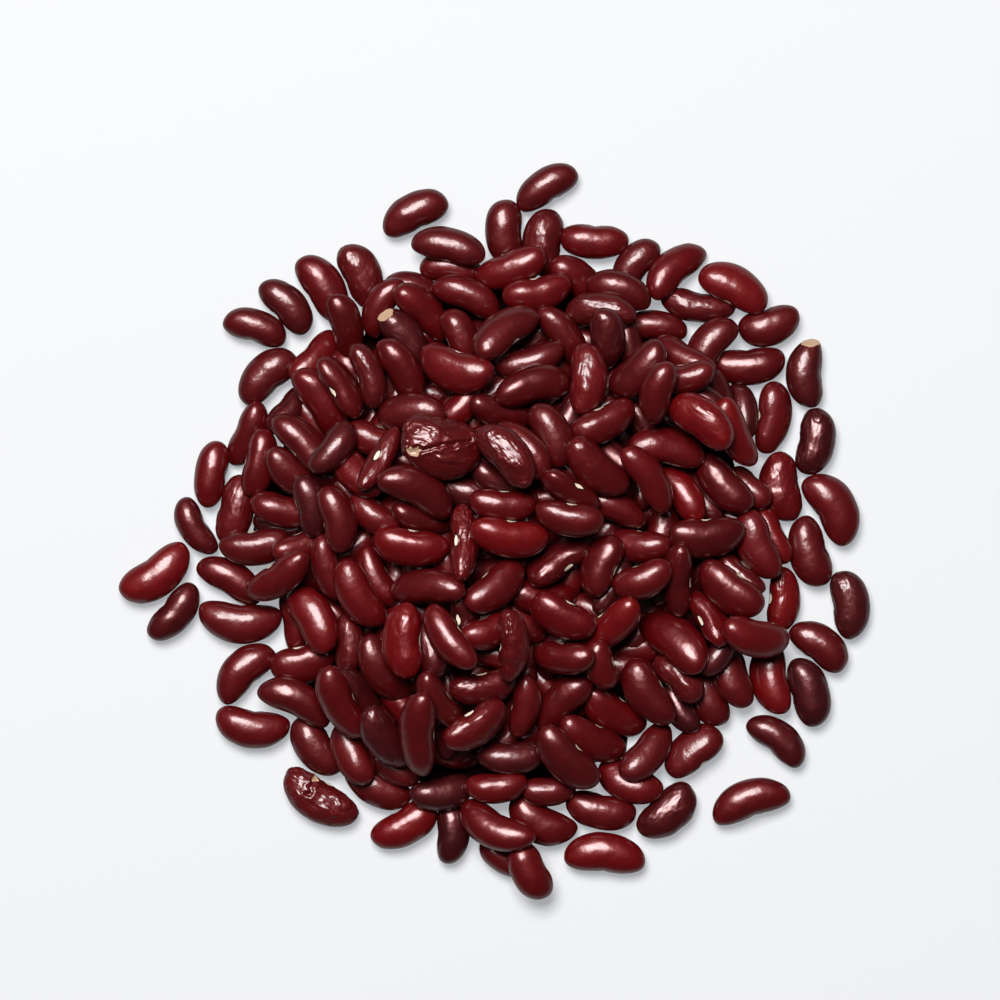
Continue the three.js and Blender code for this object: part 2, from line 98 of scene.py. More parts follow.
courses = [[
    (-30.8, 59.2, 112, 15.5, 9, "w"), (-9.8, 60.7, 172, 15, 7.4, 0.9),
    (2.5, 69.2, 272, 15.3, 8.9, 0.6), (11.6, 67.3, 262, 15.6, 9.2, 0.9, "w"),
    (32.8, 61.8, 230, 14.2, 8), (47.2, 52.1, 350, 17.5, 7.2, "w"), (58.2, 27.4, 97, 14, 6.8, "d"),
    (-57, 22.3, 67, 16, 7.6, 0.9), (-60.5, 4.7, 77, 16.5, 8.4, 0.6, "w"),
    (-61.4, -11.8, 150, 16.8, 8, 1), (-46.3, -21, 98, 15, 6.8),
    (64.8, -34.2, 279, 17.6, 9.2, 1.6, "b"), (65, -1.3, 297, 14.5, 6.8, 0.6, "b"),
    (49.7, -39.6, 290, 13.6, 8.4), (43.6, -41.4, 300, 13.2, 7.1, "d"),
    (55.4, -34, 290, 15.5, 8.8, 0.8), (2.4, -76.2, 325, 13.5, 6.7, 0.9),
    (10.8, -67.5, 330, 17.2, 9.3, 2.2), (-9.8, -70.2, 88, 14.8, 7.8, "d"),
    (-20.6, -68.5, 30, 16.8, 8.8, "b"), (-27, -59.9, 332, 17, 8.4),
    (12.7, -60.3, 5, 13.2, 7.1, 0.8), (31.2, -58.8, 335, 16, 9), (-49.5, 1.2, 355, 14, 7, "d"),
], [
    (-54.3, 15.6, 78, 16, 7.8, 0.8), (-41.9, 39.9, 48, 15, 7.9), (-47.5, 28.3, 50, 14, 7.4, "d"),
    (-18.5, 56, 160, 15, 7.6), (-10.4, 65.8, 168, 17.4, 8.2), (19.2, 58.3, 140, 14.2, 8.2, 0.9),
    (41.9, 60.5, 222, 16.6, 8.4, 1.7), (38, 47.2, 176, 15, 7.2), (55.5, 55.9, 152, 17.3, 9.5, "b"),
    (50.1, 42.9, 232, 15.5, 8.4, 1.5), (31.5, 43, 290, 13, 7.4, "d"), (51, 31, 110, 14.5, 7.9),
    (48.5, 29.5, 150, 14, 7.4, "d"), (58.9, 9.5, 320, 12, 8, 1), (53.8, 4, 340, 13.5, 7.1, "d"),
    (-55.5, -3.8, 6, 16.3, 8.4), (-44.5, -3.5, 20, 14, 7.1), (-44.3, -30.8, 15, 15.5, 9.4),
    (-45.8, -39.5, 153, 18.2, 8.4, 1.8), (-24, -54.5, 320, 15, 7.4), (-12, -60.7, 10, 15, 8, "d"),
    (52, -28, 60, 13, 6.5, "d"), (8.4, -79.1, 298, 14.3, 8.7, 0.9),
], [
    (-49.1, 4.8, 347, 15, 7.8, 0.9), (-47, 13.6, 320, 14, 8.4), (-34.4, 47.2, 105, 16, 7.8),
    (-26.6, 51.9, 242, 15.2, 7.1, 2), (-20.5, 44.5, 128, 16, 8, 1, 0, 0.95, "d"),
    (4, 60.6, 20, 17.5, 8.4, 0.7), (9.8, 55.3, 12, 16.5, 8.6), (29, 55.5, 163, 15.8, 8.4),
    (24.7, 50.7, 177, 16.5, 7.8, "w"), (43.8, 39.8, 332, 15, 7.6), (44, 35.2, 10, 14, 7.4),
    (55.5, 22.4, 296, 17.3, 7.8, "b"), (47.8, 8, 300, 14.5, 7.4, "d"), (60.9, -3.5, 294, 17, 9.2),
    (56.8, -9.7, 318, 14, 6.3, "w"), (49.9, -20.5, 120, 14, 6.7, 1.1, 50, "w"),
    (59.8, -24.5, 348, 15.6, 9), (35.5, -51.6, 50, 16, 8.4), (-49.5, -10.7, 35, 16.8, 7.9),
    (-33.5, -26.3, 90, 14.5, 6.8, "w"), (-31.5, -37.5, 125, 15, 6.8, 1.1, 50, "d"),
    (-27.8, 3.6, 325, 13.5, 7.4), (39, 1, 80, 13, 7.5), (-14.5, -27.5, 105, 14, 6.8, "dw"),
    (-6.5, -19.5, 100, 13.5, 6.8, 1.1, 60, "d"), (1, -29, 160, 14, 7.4),
    (-32.8, -51.5, 290, 16, 8.6), (-9.4, -50.9, 355, 14.8, 7.8), (0.5, -59.4, 5, 14.5, 7.4),
    (0.6, -68.4, 335, 18.5, 8.8, 2),
], [
    (-44.4, 19.8, 134, 18, 8.2), (-41.3, -20.6, 119, 16.8, 9.4, "b"),
    (-42.3, 5.7, 102, 15, 7.8, "d"), (-39.9, 29.8, 123, 18.5, 8.7),
    (-35.3, 33.2, 122, 16.5, 7.4, 1.1, 40), (-31.7, 12.5, 315, 13.5, 8.4),
    (-27.3, 20.8, 340, 14, 7.6), (-21.3, 37, 120, 17, 8.2), (-16.3, 50.8, 135, 16.5, 7.7, 1.1, 15),
    (-6.8, 54.2, 158, 17, 7.9, 1.4), (-7.9, 45, 112, 13.2, 7.6), (16, 46, 128, 15.5, 7.4),
    (25.9, 44.2, 88, 14, 8.4, "dw"), (-7, 29.3, 50, 14, 7.4), (17.5, 26.5, 60, 14, 7.4, "d"),
    (27.5, 17.3, 320, 14, 7.4, "d"), (-17.2, 2.7, 345, 14, 6.8), (-7.5, 9.5, 335, 14, 7.4, "d"),
    (0.5, 11.3, 330, 14, 7.4, "d"), (53.2, 10.4, 313, 16.5, 8.8, 1.1, 15),
    (39.8, 18.6, 170, 17.8, 8.8), (-38.6, -8.3, 288, 16, 7.1), (-27.3, -10.6, 297, 15.8, 7.1),
    (-15, -13.2, 180, 16.8, 8.2), (-35.3, -39.8, 297, 18.5, 8.2), (-12.5, -38.8, 305, 15, 6.8),
    (-25.7, -47.8, 305, 16, 8.4, "dw"), (-1.5, -23.2, 20, 12.6, 7.6),
    (27.4, -13.1, 60, 14.5, 6.3, 1.1, 50, "d"), (43, -34, 135, 14, 8, "w"),
    (27.6, -42.3, 327, 16.5, 8.8, 1.1, 20), (15.8, -39.8, 228, 17, 8.4), (7, -40.8, 80, 15, 6.9),
    (3.5, -52.8, 0, 16, 7.8, "d"), (23.1, -48.5, 333, 16.5, 8.7),
    (54.5, -13.7, 322, 17.5, 9.5, 1.1, 20),
], [
    (-36.1, 2.8, 105, 16, 8.2, 1.1, 15), (-29, 36, 108, 15.5, 6.6, 1.1, 15, "w"),
    (-18.9, 27.1, 184, 16, 8.7), (-8.8, 37.2, 342, 17.5, 9.4, 1.9, 25),
    (2.2, 45.5, 217, 17.2, 8.8, 1.5, 20), (8.6, 39.7, 15, 17, 7.4), (33.9, 37, 45, 16.3, 8.8),
    (47.9, 25.2, 143, 17, 9.2, "bw"), (43.4, 8.3, 128, 15.5, 7.9, "b"), (35.5, 12, 124, 18, 7.6),
    (1.8, 27.1, 345, 15.5, 7.1, 1.1, 20), (13.3, 22, 112, 15.6, 8.8), (48.9, -1, 5, 18, 9.8),
    (42.6, -11, 270, 16.5, 7.4, 1.1, 20, "w"), (34.3, -3.5, 355, 14, 7.8),
    (34.3, -11.3, 22, 14.5, 8.2), (27.8, 5.1, 158, 15.5, 7.1), (-31.2, -14.8, 301, 17.5, 8.8),
    (-26, -32, 305, 17.5, 9.4), (-18.8, -3.2, 352, 17.8, 9.1, "b"), (-10.3, -24.8, 306, 17.5, 7.9),
    (-2.5, -36.2, 10, 15.5, 7.8, 1.1, 15, "w"), (-4.5, -44.6, 33, 16.5, 8.6, 1.1, 15, "w"),
    (-17.3, -46.8, 270, 19.5, 8.7, 1.1, 10), (15.2, -6.4, 215, 18, 7.8, 1.1, 45, "w"),
    (24.8, -7.9, 247, 15, 8.2, 1.1, 35), (27.5, -21.3, 40, 15.9, 8.2, "b"),
    (42.3, -25.5, 140, 18.5, 10.4), (35.6, -37.8, 304, 17.5, 9.2, 1.1, 10),
    (24.5, -31, 290, 12, 7.6, 1.1, 15), (16, -29.2, 357, 14.2, 7.6),
    (4.3, -26.3, 90, 16.3, 7.1, "v"), (16.7, -52.7, 314, 18.5, 9.4),
    (-37, 18.8, 51, 14.5, 7.6, "d"),
], [
    (-26.3, 16.3, 60, 16.5, 5.4, 1.1, 60, "w"), (-17.6, 9.3, 152, 18.5, 9, 2),
    (-7.2, -3.4, 89, 17.6, 6.4, 1.1, 40, "v"), (2, 5.9, 355, 15.5, 7.6), (9, 33.2, 194, 17.8, 8.8),
    (21.5, 34.9, 87, 16.5, 8.6, "w"), (37.7, 31.8, 255, 14.5, 7.6), (25.2, 25.4, 27, 15.8, 8.3),
    (7.5, 18.8, 133, 16.5, 7.8), (23.6, 14.3, 320, 17, 9, "w"),
    (17.2, 9.5, 327, 14.6, 6.9, 1.1, 50), (17.5, 3.4, 350, 16, 8), (0.3, -13, 40, 16, 8.8),
    (15.8, -19.9, 333, 16.5, 9, 1.1, 20), (-20.3, -25.3, 270, 17.5, 9.4, "bw"),
], [
    (-12.4, 19, 342, 19.2, 13.6, 1.2, 15, "v"), (3, 17.5, 132, 17.3, 9.2, "v"),
    (3.6, -1, 352, 18.2, 9.2, "b"),
]]

kidney = dict(
    nominalLength=17, nominalBend=1.1,            # mm
    notchDepth=0.5, notchReach=0.26,              # mm; share of the half length
    notchPower=3.0,                               # how soon it ends round the bean
    endPower=2.4, fullnessPower=1 / 2.2,          # how blunt the ends are
    bowCentre=0.3,                                # where the bow crosses the middle, as u squared
    thicknessAtZero=4.3, thicknessPerWidth=0.26,  # mm; a wider bean is thicker
    narrowest=0.9,                                # least width, as a share of the thickness
)
resting = dict(
    cell=0.7, reach=96,                           # mm, the grid of what has been laid
    steepest=0.5, steepestSide=0.3,               # slopes
    stepsEachWay=3, rounds=4,                     # the search for the lowest pose, ever finer
    tiltPrice=4, settleIn=0.7,                    # mm
    spare=1.5, endShare=0.98, sideShare=0.95,     # mm; shares of the outline that count
    directions=6, nudges=(0.5,), nudgePrice=1,    # places tried, mm; mm of height for each mm
    tie=1e-7,                                     # mm
)
buriedBeans = dict(
    seed=20417, tries=500, radius=55,             # mm
    domeHeight=18, domeRadius=60, under=5,        # mm
    length=(15.5, 2.5), width=(7.6, 1.2),         # mm: the least, and how much more at most
    nudges=(1.5, 3), nudgePrice=0.3,
)
filling = dict(
    seed=911, tries=400, reach=50, depth=11,      # mm
    sunk=0.5, sideCells=12,                       # share of its thickness; grid cells
    headings=6, heading=(30, 20),                 # degrees: the step, and how much more at most
    length=(14, 2.5), width=(7, 1),               # mm
)


# a plain multiplying generator, the same on every machine
def seeded(seed, factor=48271, prime=2147483647):
    while True:
        seed = seed * factor % prime
        yield seed / prime


# how full the bean is at u, which runs from -1 to 1 along it
def fullness(u):
    return np.maximum(0, 1 - np.abs(u) ** kidney["endPower"]) ** kidney["fullnessPower"]


def makeBean(row):
    looks = row[-1] if isinstance(row[-1], str) else ""
    x, y, heading, length, width, *rest = row[:-1] if looks else row
    bend, roll, chip = list(rest) + [kidney["nominalBend"], 0, 0][len(rest):]
    thick = (kidney["thicknessAtZero"] + kidney["thicknessPerWidth"] * width) / 2
    cr, sr = math.cos(math.radians(roll)), math.sin(math.radians(roll))
    # the width is the one seen from above, so a rolled bean is wider than that
    half = math.sqrt(max((width / 2) ** 2 - (thick * sr) ** 2,
                         (kidney["narrowest"] * thick * cr) ** 2)) / cr
    return dict(x=x, y=y, heading=math.radians(heading), length=length, half=half, thick=thick,
                chip=chip, cr=cr, sr=sr, roll=math.radians(roll), looks=looks,
                bend=bend * length / kidney["nominalLength"], lift=thick, pitch=0.0, lean=0.0)


side = 2 * round(resting["reach"] / resting["cell"]) + 1
field = np.zeros((side, side))


# the grid points under a bean, with its lower and upper face there
def footprint(b, x, y):
    cell = resting["cell"]
    cosH, sinH = math.cos(b["heading"]), math.sin(b["heading"])
    reach = b["length"] / 2 + resting["spare"]
    i = np.arange(math.ceil((x - reach) / cell), math.floor((x + reach) / cell) + 1)
    j = np.arange(math.ceil((y - reach) / cell), math.floor((y + reach) / cell) + 1)
    i, j = (g.ravel() for g in np.meshgrid(i, j, indexing="ij"))
    dx, dy = i * cell - x, j * cell - y
    p, q = dx * cosH + dy * sinH, dy * cosH - dx * sinH
    u = p / (b["length"] / 2)
    full = fullness(np.clip(u, -1, 1))
    w, t = b["half"] * full, b["thick"] * full
    arc = b["bend"] * (u * u - kidney["bowCentre"])
    off = q - arc * b["cr"]
    span = (w * b["cr"]) ** 2 + (t * b["sr"]) ** 2
    keep = (np.abs(u) <= resting["endShare"]) & (off * off <= resting["sideShare"] * span)
    i, j, p, q, w, t, arc, off, span = (v[keep] for v in (i, j, p, q, w, t, arc, off, span))
    mid = arc * b["sr"] + off * (w * w - t * t) * b["sr"] * b["cr"] / span
    rise = w * t * np.sqrt(span - off * off) / span
    return i + side // 2, j + side // 2, p, q, mid - rise, mid + rise


# the lowest pose over the field: the height of the middle and the two slopes
def restingPose(b, x, y):
    i, j, p, q, low, _ = footprint(b, x, y)
    h = field[i, j]
    best = (math.inf, 0.0, 0.0, 0.0)
    pitchAt = leanAt = 0.0
    steepest, steepestSide = resting["steepest"], resting["steepestSide"]
    steps = resting["stepsEachWay"]
    pitchStep, leanStep = steepest / steps, steepestSide / steps
    each = np.arange(-steps, steps + 1)
    m, n = (g.ravel() for g in np.meshgrid(each, each, indexing="ij"))
    for _ in range(resting["rounds"]):
        pitch = np.clip(pitchAt + m * pitchStep, -steepest, steepest)
        lean = np.clip(leanAt + n * leanStep, -steepestSide, steepestSide)
        stretch = np.sqrt(1 + pitch * pitch + lean * lean)
        lift = (h[:, None] - p[:, None] * pitch - q[:, None] * lean
                - low[:, None] * stretch).max(axis=0)
        cost = lift + resting["tiltPrice"] * (pitch * pitch + lean * lean)
        for k, value in enumerate(cost.tolist()):
            if value < best[0] - resting["tie"]:
                best = (value, float(lift[k]), float(pitch[k]), float(lean[k]))
        pitchAt, leanAt = best[2], best[3]
        pitchStep, leanStep = pitchStep / steps, leanStep / steps
    return best


# tries the place given and places around it, where moving away costs its share
def lay(b, rule):
    tries = [(0.0, 0.0)]
    for r in rule["nudges"]:
        for k in range(resting["directions"]):
            a = math.radians(k * 360 / resting["directions"])
            tries.append((r * math.cos(a), r * math.sin(a)))
    best = None
    for dx, dy in tries:
        pose = restingPose(b, b["x"] + dx, b["y"] + dy)
        total = pose[0] + rule["nudgePrice"] * math.hypot(dx, dy)
        if best is None or total < best[0] - resting["tie"]:
            best = (total, pose, b["x"] + dx, b["y"] + dy)
    _, (_, lift, b["pitch"], b["lean"]), b["x"], b["y"] = best
    b["lift"] = max(b["thick"], lift - resting["settleIn"])


def coverField(b):
    i, j, p, q, _, high = footprint(b, b["x"], b["y"])
    stretch = math.sqrt(1 + b["pitch"] ** 2 + b["lean"] ** 2)
    np.maximum.at(field, (i, j), b["lift"] + b["pitch"] * p + b["lean"] * q + high * stretch)


loose = [makeBean(row) for row in looseRows]
for b in loose:
    coverField(b)
laid = [[makeBean(row) for row in course] for course in courses]
for b in laid[0]:
    lay(b, resting)
    coverField(b)

# buried beans fill the dome up to its height, wherever one still comes to lie low enough
draw = seeded(buriedBeans["seed"])
buried = []
for n in range(buriedBeans["tries"]):
    r = buriedBeans["radius"] * math.sqrt(next(draw))
    a = math.radians(360 * next(draw))
    heading = 360 * next(draw)
    length, width = (least + more * next(draw) for least, more in
                     (buriedBeans["length"], buriedBeans["width"]))
    b = makeBean((r * math.cos(a), r * math.sin(a), heading, length, width))
    lay(b, buriedBeans)
    share = math.hypot(b["x"], b["y"]) / buriedBeans["domeRadius"]
    if b["lift"] <= buriedBeans["domeHeight"] * (1 - share ** 2) - buriedBeans["under"]:
        coverField(b)
        buried.append(b)
for course in laid[1:]:
    for b in course:
        lay(b, resting)
        coverField(b)
shown = [b for course in laid for b in course]


# the highest or lowest of the field within some cells, to one side or all round
def around(heights, sides, choose):
    for axis, cells in sides:
        heights = choose([np.roll(heights, k, axis) for k in cells], axis=0)
    return heights


# how high the beans stand all round a place: a hole has them on its four sides
near = filling["sideCells"]
enclosed = np.min([around(field, [(axis, cells)], np.max)
                   for axis in (0, 1) for cells in (range(-near, 1), range(0, near + 1))], axis=0)

# where the surface would show between them, a bean fills the hole from below
grid = (np.arange(side) - side // 2) * resting["cell"]
inReach = np.hypot(grid[:, None], grid[None, :]) < filling["reach"]
draw = seeded(filling["seed"])
for n in range(filling["tries"]):
    hole = np.where(inReach, enclosed - field, 0)
    i, j = np.unravel_index(hole.argmax(), hole.shape)
    if hole[i, j] < filling["depth"]:
        break
    choices = []
    for k in range(filling["headings"]):
        heading = filling["heading"][0] * k + filling["heading"][1] * next(draw)
        length, width = (least + more * next(draw) for least, more in
                         (filling["length"], filling["width"]))
        b = makeBean((grid[i], grid[j], heading, length, width))
        under = footprint(b, b["x"], b["y"])
        choices.append((field[under[0], under[1]].mean(), k, b))
    b = min(choices)[2]
    b["lift"] = max(b["thick"], field[i, j] + (1 - filling["sunk"]) * b["thick"])
    coverField(b)
    buried.append(b)
print("laid:", len(loose), "loose,", len(shown), "on show,", len(buried), "below them, crown at",
      round(max(b["lift"] for b in shown), 2), "mm")

# how each bean looks: its shade from 0, dark, to 1, bright, and how far it has shrunk
variety = dict(
    seed=7311, plain=(0.3, 0.55), bright=(0.58, 0.74), dark=(0.08, 0.22),
    unshrunk=(0, 0), wrinkled=(0.75, 1.05), shrivelled=(1.7, 2.1), shrivelledFrom=1.5,
    taper=0.08, span=90,      # share of the width; mm, how far apart the patterns start
    creaseWithin=2,           # mm, how near to a crease's place its bean lies
)
chance = seeded(variety["seed"])
for b in loose + shown + buried:
    low, high = variety[{"b": "bright", "d": "dark"}.get(b["looks"][:1], "plain")]
    b["shade"] = low + (high - low) * next(chance)
    low, high = variety[{"v": "shrivelled", "w": "wrinkled"}.get(b["looks"][-1:], "unshrunk")]
    b["wrinkle"] = low + (high - low) * next(chance)
    b["taper"] = variety["taper"] * (2 * next(chance) - 1)
    b["variety"] = [variety["span"] * next(chance) - variety["span"] / 2 for k in range(3)]

# a deep crease from one place to another across the top, in mm from the bean's middle,
# listed by the place of its bean; every other bean has one that lies nowhere near it
creases = {(-12.4, 19.2): ((-6.6, -3.4), (5.9, 3.4)), (-40.1, -62.5): ((-3.2, 3.6), (-2.8, 0.2))}
nowhere = ((900, 900), (901, 900))
for b in loose + shown + buried:
    b["crease"] = nowhere
    for (x, y), line in creases.items():
        close = math.hypot(b["x"] - x, b["y"] - y) < variety["creaseWithin"]
        if close and b["wrinkle"] > variety["shrivelledFrom"]:
            b["crease"] = line


def turnOf(b):
    along = Vector((1, 0, b["pitch"])).normalized()
    up = Vector((-b["pitch"], -b["lean"], 1)).normalized()
    basis = Matrix((along, up.cross(along), up)).transposed()
    turn = Matrix.Rotation(b["heading"], 3, "Z") @ basis @ Matrix.Rotation(b["roll"], 3, "X")
    return tuple(turn.to_euler())


# one vertex for each bean, with the sizes that the bean is grown from
def beanPoints(name, beans):
    mesh = bpy.data.meshes.new(name)
    mesh.from_pydata([Vector((b["x"], b["y"], b["lift"])) * mm for b in beans], [], [])
    sizes = {"place": [], "turn": [], "halves": [], "ends": [], "variety": [],
             "creaseFrom": [], "creaseTo": [], "bow": [], "taper": [], "shade": [], "wrinkle": []}
    for b in beans:
        reach = b["length"] / 2 * math.hypot(1, b["pitch"]) * mm
        sizes["place"].append((b["x"] * mm, b["y"] * mm, b["lift"] * mm))
        sizes["turn"].append(turnOf(b))
        sizes["halves"].append((reach, b["half"] * mm, b["thick"] * mm))
        # where a broken end is cut, and how that face slants; a whole one is cut a metre away
        sizes["ends"].append((min(b["chip"], 0) * reach or -1, max(b["chip"], 0) * reach or 1,
                              beanShape["breakSlant"] if b["chip"] else 0))
        for label, (x, y) in zip(("creaseFrom", "creaseTo"), b["crease"]):
            sizes[label].append((x * mm, y * mm, 0))
        sizes["bow"].append(b["bend"] * mm)
        for label in ("variety", "taper", "shade", "wrinkle"):
            sizes[label].append(b[label])
    for label, values in sizes.items():
        values = np.array(values, dtype=np.float32)
        kind, entry = ("FLOAT_VECTOR", "vector") if values.ndim == 2 else ("FLOAT", "value")
        mesh.attributes.new(label, kind, "POINT").data.foreach_set(entry, values.ravel())
    return mesh


# how the beans are grown on the points; lengths in metres
beanShape = dict(
    seed=5,
    lumpSize=7 * mm, lumpDepth=0.32 * mm,             # slow unevenness of every bean
    dentSize=3.8 * mm, dentDepth=0.3 * mm,            # where the wrinkled ones have sunk in
    foldSize=1.4 * mm, foldDepth=0.09 * mm,           # and the loose skin on them
    foldSlope=6.0, crossFoldSlope=9.0, crossFoldShare=0.6,
    stretch=dict(lumps=(1, 1, 1), dents=(1.3, 1, 1), folds=(3.2, 1, 1),
                 crossFolds=(1.4, 2.8, 2.8), patch=(0.8, 0.6, 0.6)),
    distortion=0.5, detail=1.0,
    patchSlope=7.0, patchStart=-3.1, patchOnHollow=1.3, patchLeast=0.1,   # where the folds gather
    creaseWidth=0.6 * mm, creaseDepth=0.55 * mm,
    creaseWander=3.4 * mm, wanderScale=3.2, wanderDetail=2.0,
    creaseLipAt=1.7, creaseLipFall=1.5, creaseLipHeight=0.45,   # widths; share of the depth
    splitTaper=5.0,                                   # the skin has split near its start only
    scarLength=2.6 * mm, scarWidth=1.05 * mm, scarLip=0.14 * mm,
    scarLipAt=1.15, scarLipFall=10.0, scarSide=0.3,   # half sizes; how far round it reaches
    breakSlant=0.6, breakRaggedness=0.12, raggedScale=3.0,      # of a chipped end
    unbroken=0.01 * mm,                               # less than this cut away counts as whole
    farOff=20.0, tiny=1e-6,                           # keeps marks off a side; avoids a zero
)
# the tree's inputs that take their values from there
shapeInputs = {"Lump size": "lumpSize", "Lump depth": "lumpDepth", "Dent size": "dentSize",
               "Dent depth": "dentDepth", "Fold size": "foldSize", "Fold depth": "foldDepth",
               "Crease width": "creaseWidth", "Crease depth": "creaseDepth",
               "Scar length": "scarLength", "Scar width": "scarWidth", "Scar lip": "scarLip",
               "Seed": "seed"}


def beanTree():
    tree = bpy.data.node_groups.new("kidneyBeans", "GeometryNodeTree")
    tree.interface.new_socket("Geometry", in_out="OUTPUT", socket_type="NodeSocketGeometry")
    for name, kind in {"Geometry": "Geometry", "Facets round": "Int", "Facets along": "Int",
                       **dict.fromkeys(shapeInputs, "Float"), "Seed coat": "Material"}.items():
        tree.interface.new_socket(name, in_out="INPUT", socket_type="NodeSocket" + kind)
    inputs = addNode(tree, "NodeGroupInput").outputs
    value = {socket.name: socket for socket in inputs if socket.name}

    # a ball with its poles at the bean's ends, one on each point
    ball = addNode(tree, "GeometryNodeMeshUVSphere",
                   {"Segments": value["Facets round"], "Rings": value["Facets along"],
                    "Radius": 1.0})
    where = addNode(tree, "GeometryNodeInputPosition")
    ball = addNode(tree, "GeometryNodeStoreNamedAttribute",
                   {"Geometry": ball.outputs[0], "Name": "ball", "Value": where.outputs[0]},
                   data_type="FLOAT_VECTOR", domain="POINT")
    beans = addNode(tree, "GeometryNodeInstanceOnPoints",
                    {"Points": value["Geometry"], "Instance": ball.outputs[0]})
    beans = addNode(tree, "GeometryNodeRealizeInstances", {"Geometry": beans.outputs[0]})
    for label in ("ball", "halves", "ends", "turn", "place", "variety", "creaseFrom", "creaseTo"):
        value[label] = addNode(tree, "GeometryNodeInputNamedAttribute", {"Name": label},
                               data_type="FLOAT_VECTOR").outputs[0]
    for label in ("bow", "taper", "wrinkle"):
        value[label] = addNode(tree, "GeometryNodeInputNamedAttribute", {"Name": label},
                               data_type="FLOAT").outputs[0]
    for label, names in (("ball", ("ballX", "ballY", "u")),
                         ("halves", ("halfLength", "halfWidth", "halfThick")),
                         ("ends", ("lowEnd", "highEnd", "slant"))):
        value.update(zip(names, addNode(tree, "ShaderNodeSeparateXYZ", {0: value[label]}).outputs))

    addSteps(tree, "ShaderNodeVectorMath", value, (
        ("start", "ADD", "variety", "Seed"),
        ("spot", "ADD", "ball", "start"),
    ))
    value["ragged"] = addNode(tree, "ShaderNodeTexNoise",
                              {"Vector": value["spot"], "Scale": beanShape["raggedScale"],
                               "Detail": beanShape["detail"]},
                              noise_dimensions="3D").outputs[0]
    addSteps(tree, "ShaderNodeMath", value, (
        # round the bean: c is 1 on the hollow side, s is 1 on top
        ("c", "MULTIPLY", "ballX", "ballX"),
        ("ring", "MULTIPLY_ADD", "ballY", "ballY", "c"),
        ("ring", "SQRT", "ring"),
        ("ring", "MAXIMUM", "ring", beanShape["tiny"]),
        ("c", "DIVIDE", "ballX", "ring"),
        ("s", "DIVIDE", "ballY", "ring"),
        # how full it is along its length
        ("full", "ABSOLUTE", "u"),
        ("full", "POWER", "full", kidney["endPower"]),
        ("full", "SUBTRACT", 1.0, "full"),
        ("full", "MAXIMUM", "full", 0.0),
        ("full", "POWER", "full", kidney["fullnessPower"]),
        ("swell", "MULTIPLY_ADD", "u", "taper", 1.0),
        ("full", "MULTIPLY", "full", "swell"),
        # the notch and the bow of the middle line
        ("uSquared", "MULTIPLY", "u", "u"),
        ("notch", "MULTIPLY", "uSquared", -1 / kidney["notchReach"] ** 2),
        ("notch", "EXPONENT", "notch"),
        ("hollow", "MAXIMUM", "c", 0.0),
        ("hollow", "POWER", "hollow", kidney["notchPower"]),
        ("notch", "MULTIPLY", "notch", "hollow"),
        ("notch", "MULTIPLY", "notch", kidney["notchDepth"] * mm),
        ("bowing", "SUBTRACT", "uSquared", kidney["bowCentre"]),
        ("bowing", "MULTIPLY", "bowing", "bow"),
        ("y", "MULTIPLY", "halfWidth", "full"),
        ("y", "MULTIPLY_ADD", "y", "c", "bowing"),
        ("y", "SUBTRACT", "y", "notch"),
        ("z", "MULTIPLY", "halfThick", "full"),
        ("z", "MULTIPLY", "z", "s"),
        # a broken end is a slanting, slightly ragged face
        ("wholeX", "MULTIPLY", "u", "halfLength"),
        ("tilt", "MULTIPLY", "z", "slant"),
        ("ragged", "SUBTRACT", "ragged", 0.5),
        ("ragged", "MULTIPLY", "ragged", beanShape["breakRaggedness"]),
        ("ragged", "MULTIPLY", "ragged", "slant"),
        ("ragged", "MULTIPLY", "ragged", "halfLength"),
        ("tilt", "ADD", "tilt", "ragged"),
        ("lowEnd", "ADD", "lowEnd", "tilt"),
        ("highEnd", "SUBTRACT", "highEnd", "tilt"),
        ("x", "MAXIMUM", "wholeX", "lowEnd"),
        ("x", "MINIMUM", "x", "highEnd"),
        ("broken", "SUBTRACT", "wholeX", "x"),
        ("broken", "ABSOLUTE", "broken"),
        # the scar in the notch: 1 at the edge of its oval, with a raised lip round it
        ("scar", "DIVIDE", "x", "Scar length"),
        ("scar", "MULTIPLY", "scar", "scar"),
        ("wide", "DIVIDE", "z", "Scar width"),
        ("scar", "MULTIPLY_ADD", "wide", "wide", "scar"),
        ("scar", "SQRT", "scar"),
        ("scar", "MULTIPLY", "scar", 2.0),
        ("back", "LESS_THAN", "c", beanShape["scarSide"]),
        ("scar", "MULTIPLY_ADD", "back", beanShape["farOff"], "scar"),
        ("lip", "SUBTRACT", "scar", beanShape["scarLipAt"]),
        ("lip", "MULTIPLY", "lip", "lip"),
        ("lip", "MULTIPLY", "lip", -beanShape["scarLipFall"]),
        ("lip", "EXPONENT", "lip"),
        ("y", "MULTIPLY_ADD", "lip", "Scar lip", "y"),
    ))
